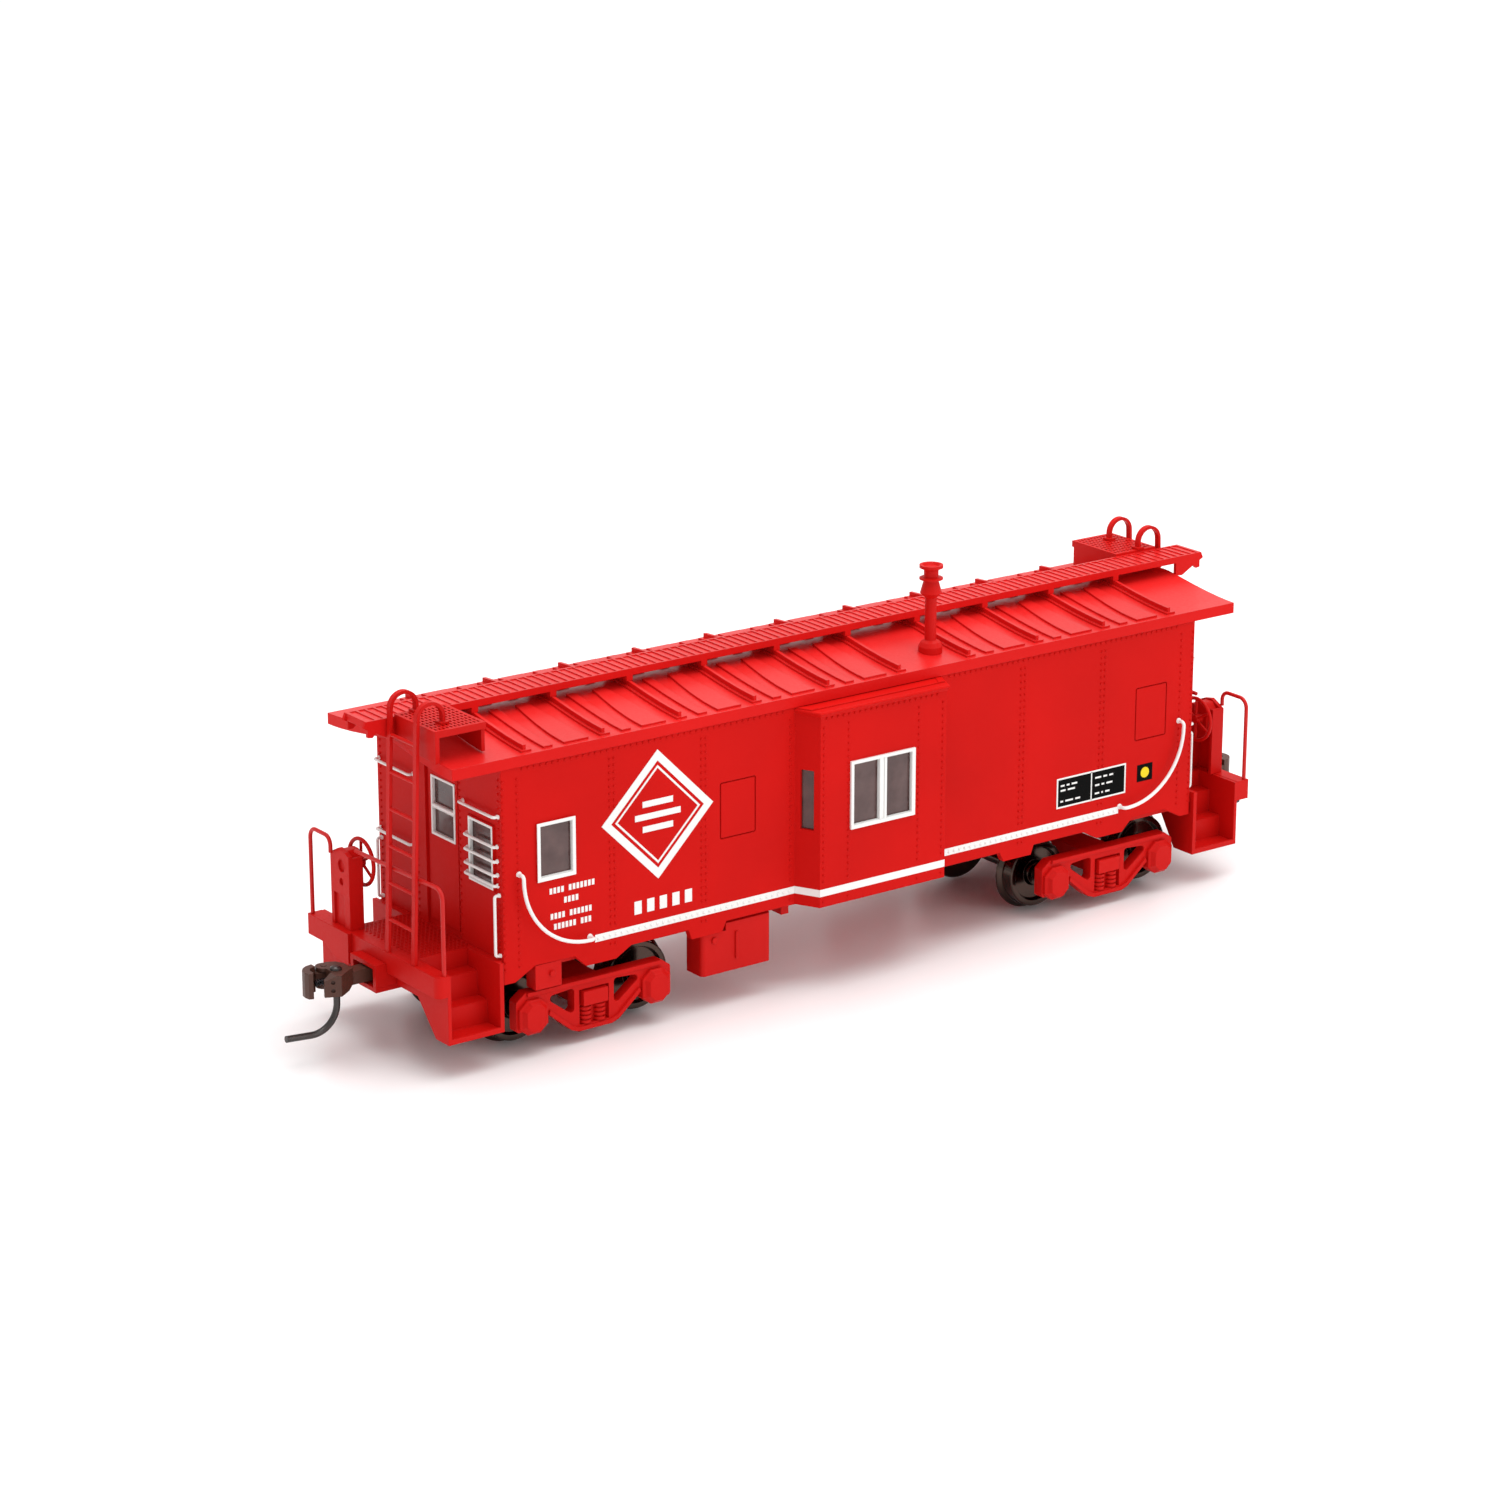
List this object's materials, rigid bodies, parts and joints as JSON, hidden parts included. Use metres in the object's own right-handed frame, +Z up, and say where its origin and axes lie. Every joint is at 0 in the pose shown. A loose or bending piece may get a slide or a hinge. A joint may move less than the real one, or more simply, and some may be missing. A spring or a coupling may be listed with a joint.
{
  "type": "model caboose",
  "caption": "HO-scale bay-window caboose with swivelling trucks, rolling wheelsets, swinging knuckle couplers, end steps, ladders, roofwalk and smokestack.",
  "frame": {"origin": "middle of the car in plan, at the level of the wheel flanges' lowest points", "axes": "+X along the car, +Z up; the A end is at -X and the smokestack is on the -Y side"},
  "size_m": [0.1638, 0.0374, 0.0536],
  "materials": {
    "red_plastic": "satin moulded plastic",
    "red_wire": "satin paint",
    "white_wire": "satin paint",
    "window_glazing": "clear glazing over a dark interior",
    "steel_weight": "rolled",
    "screw_steel": "zinc plated",
    "brown_plastic": "satin",
    "spring_steel": "drawn wire",
    "dark_steel": "blackened",
    "blackened_metal": "chemically blackened"
  },
  "bodies": {
    "carbody": {"body_shell": "red_plastic", "roof": "red_plastic", "roofwalk": "red_plastic", "smokestack": "red_plastic", "side_window_glass": "window_glazing", "bay_front_glass": "window_glazing", "bay_side_glass": "window_glazing", "end_door_glass": "window_glazing", "end_window_glass": "window_glazing", "side_grab_irons": "white_wire", "window_guards": "white_wire", "floor_plate": "red_plastic", "underframe": "red_plastic", "floor_weight": "steel_weight", "tool_boxes": "red_plastic", "valve_boxes": "red_plastic", "brake_cylinder": "red_plastic", "air_reservoir": "red_plastic", "truck_screws": "screw_steel", "coupler_screws": "screw_steel", "roof_platform_a": "red_plastic", "roof_platform_b": "red_plastic", "ladder_a": "red_plastic", "ladder_b": "red_plastic", "end_platform_a": "red_plastic", "end_platform_b": "red_plastic", "brake_stand_a": "red_plastic", "brake_stand_b": "red_plastic", "brake_wheel_a": "red_plastic", "brake_wheel_b": "red_plastic", "end_railing_a": "red_wire", "end_railing_b": "red_wire", "end_grab_irons_a": "white_wire", "end_grab_irons_b": "white_wire", "coupler_lid_a": "red_plastic", "coupler_lid_b": "red_plastic"},
    "truck_a": {"truck_bolster_a": "red_plastic", "truck_sideframe_left_a": "red_plastic", "truck_sideframe_right_a": "red_plastic"},
    "truck_b": {"truck_bolster_b": "red_plastic", "truck_sideframe_left_b": "red_plastic", "truck_sideframe_right_b": "red_plastic"},
    "wheelset_1": {"axle_1": "blackened_metal", "wheels_1": "blackened_metal"},
    "wheelset_2": {"axle_2": "blackened_metal", "wheels_2": "blackened_metal"},
    "wheelset_3": {"axle_3": "blackened_metal", "wheels_3": "blackened_metal"},
    "wheelset_4": {"axle_4": "blackened_metal", "wheels_4": "blackened_metal"},
    "coupler_a": {"coupler_head_a": "brown_plastic", "knuckle_spring_a": "spring_steel", "trip_pin_a": "dark_steel"},
    "knuckle_a": {"knuckle_a": "brown_plastic"},
    "coupler_b": {"coupler_head_b": "brown_plastic", "knuckle_spring_b": "spring_steel", "trip_pin_b": "dark_steel"},
    "knuckle_b": {"knuckle_b": "brown_plastic"}
  },
  "joints": [
    {"name": "truck_a_swivel", "type": "hinge", "parent": "carbody", "child": "truck_a", "pos_m": [-0.04384, 0, 0.0084], "axis": [0, 0, 1], "range_deg": [-9, 9]},
    {"name": "truck_b_swivel", "type": "hinge", "parent": "carbody", "child": "truck_b", "pos_m": [0.04384, 0, 0.0084], "axis": [0, 0, 1], "range_deg": [-9, 9]},
    {"name": "wheelset_1_roll", "type": "hinge", "parent": "truck_a", "child": "wheelset_1", "pos_m": [-0.05344, 0, 0.00545], "axis": [0, 1, 0], "continuous": true},
    {"name": "wheelset_2_roll", "type": "hinge", "parent": "truck_a", "child": "wheelset_2", "pos_m": [-0.03424, 0, 0.00545], "axis": [0, 1, 0], "continuous": true},
    {"name": "wheelset_3_roll", "type": "hinge", "parent": "truck_b", "child": "wheelset_3", "pos_m": [0.03424, 0, 0.00545], "axis": [0, 1, 0], "continuous": true},
    {"name": "wheelset_4_roll", "type": "hinge", "parent": "truck_b", "child": "wheelset_4", "pos_m": [0.05344, 0, 0.00545], "axis": [0, 1, 0], "continuous": true},
    {"name": "coupler_a_swing", "type": "hinge", "parent": "carbody", "child": "coupler_a", "pos_m": [-0.0646, 0, 0.0107], "axis": [0, 0, 1], "range_deg": [-9, 9], "stiffness_Nm_per_rad": 0.0005},
    {"name": "knuckle_a_open", "type": "hinge", "parent": "coupler_a", "child": "knuckle_a", "pos_m": [-0.0749, 0.00175, 0.0109], "axis": [0, 0, -1], "range_deg": [0, 20], "stiffness_Nm_per_rad": 0.0002},
    {"name": "coupler_b_swing", "type": "hinge", "parent": "carbody", "child": "coupler_b", "pos_m": [0.0646, 0, 0.0107], "axis": [0, 0, 1], "range_deg": [-9, 9], "stiffness_Nm_per_rad": 0.0005},
    {"name": "knuckle_b_open", "type": "hinge", "parent": "coupler_b", "child": "knuckle_b", "pos_m": [0.0749, -0.00175, 0.0109], "axis": [0, 0, -1], "range_deg": [0, 20], "stiffness_Nm_per_rad": 0.0002}
  ]
}
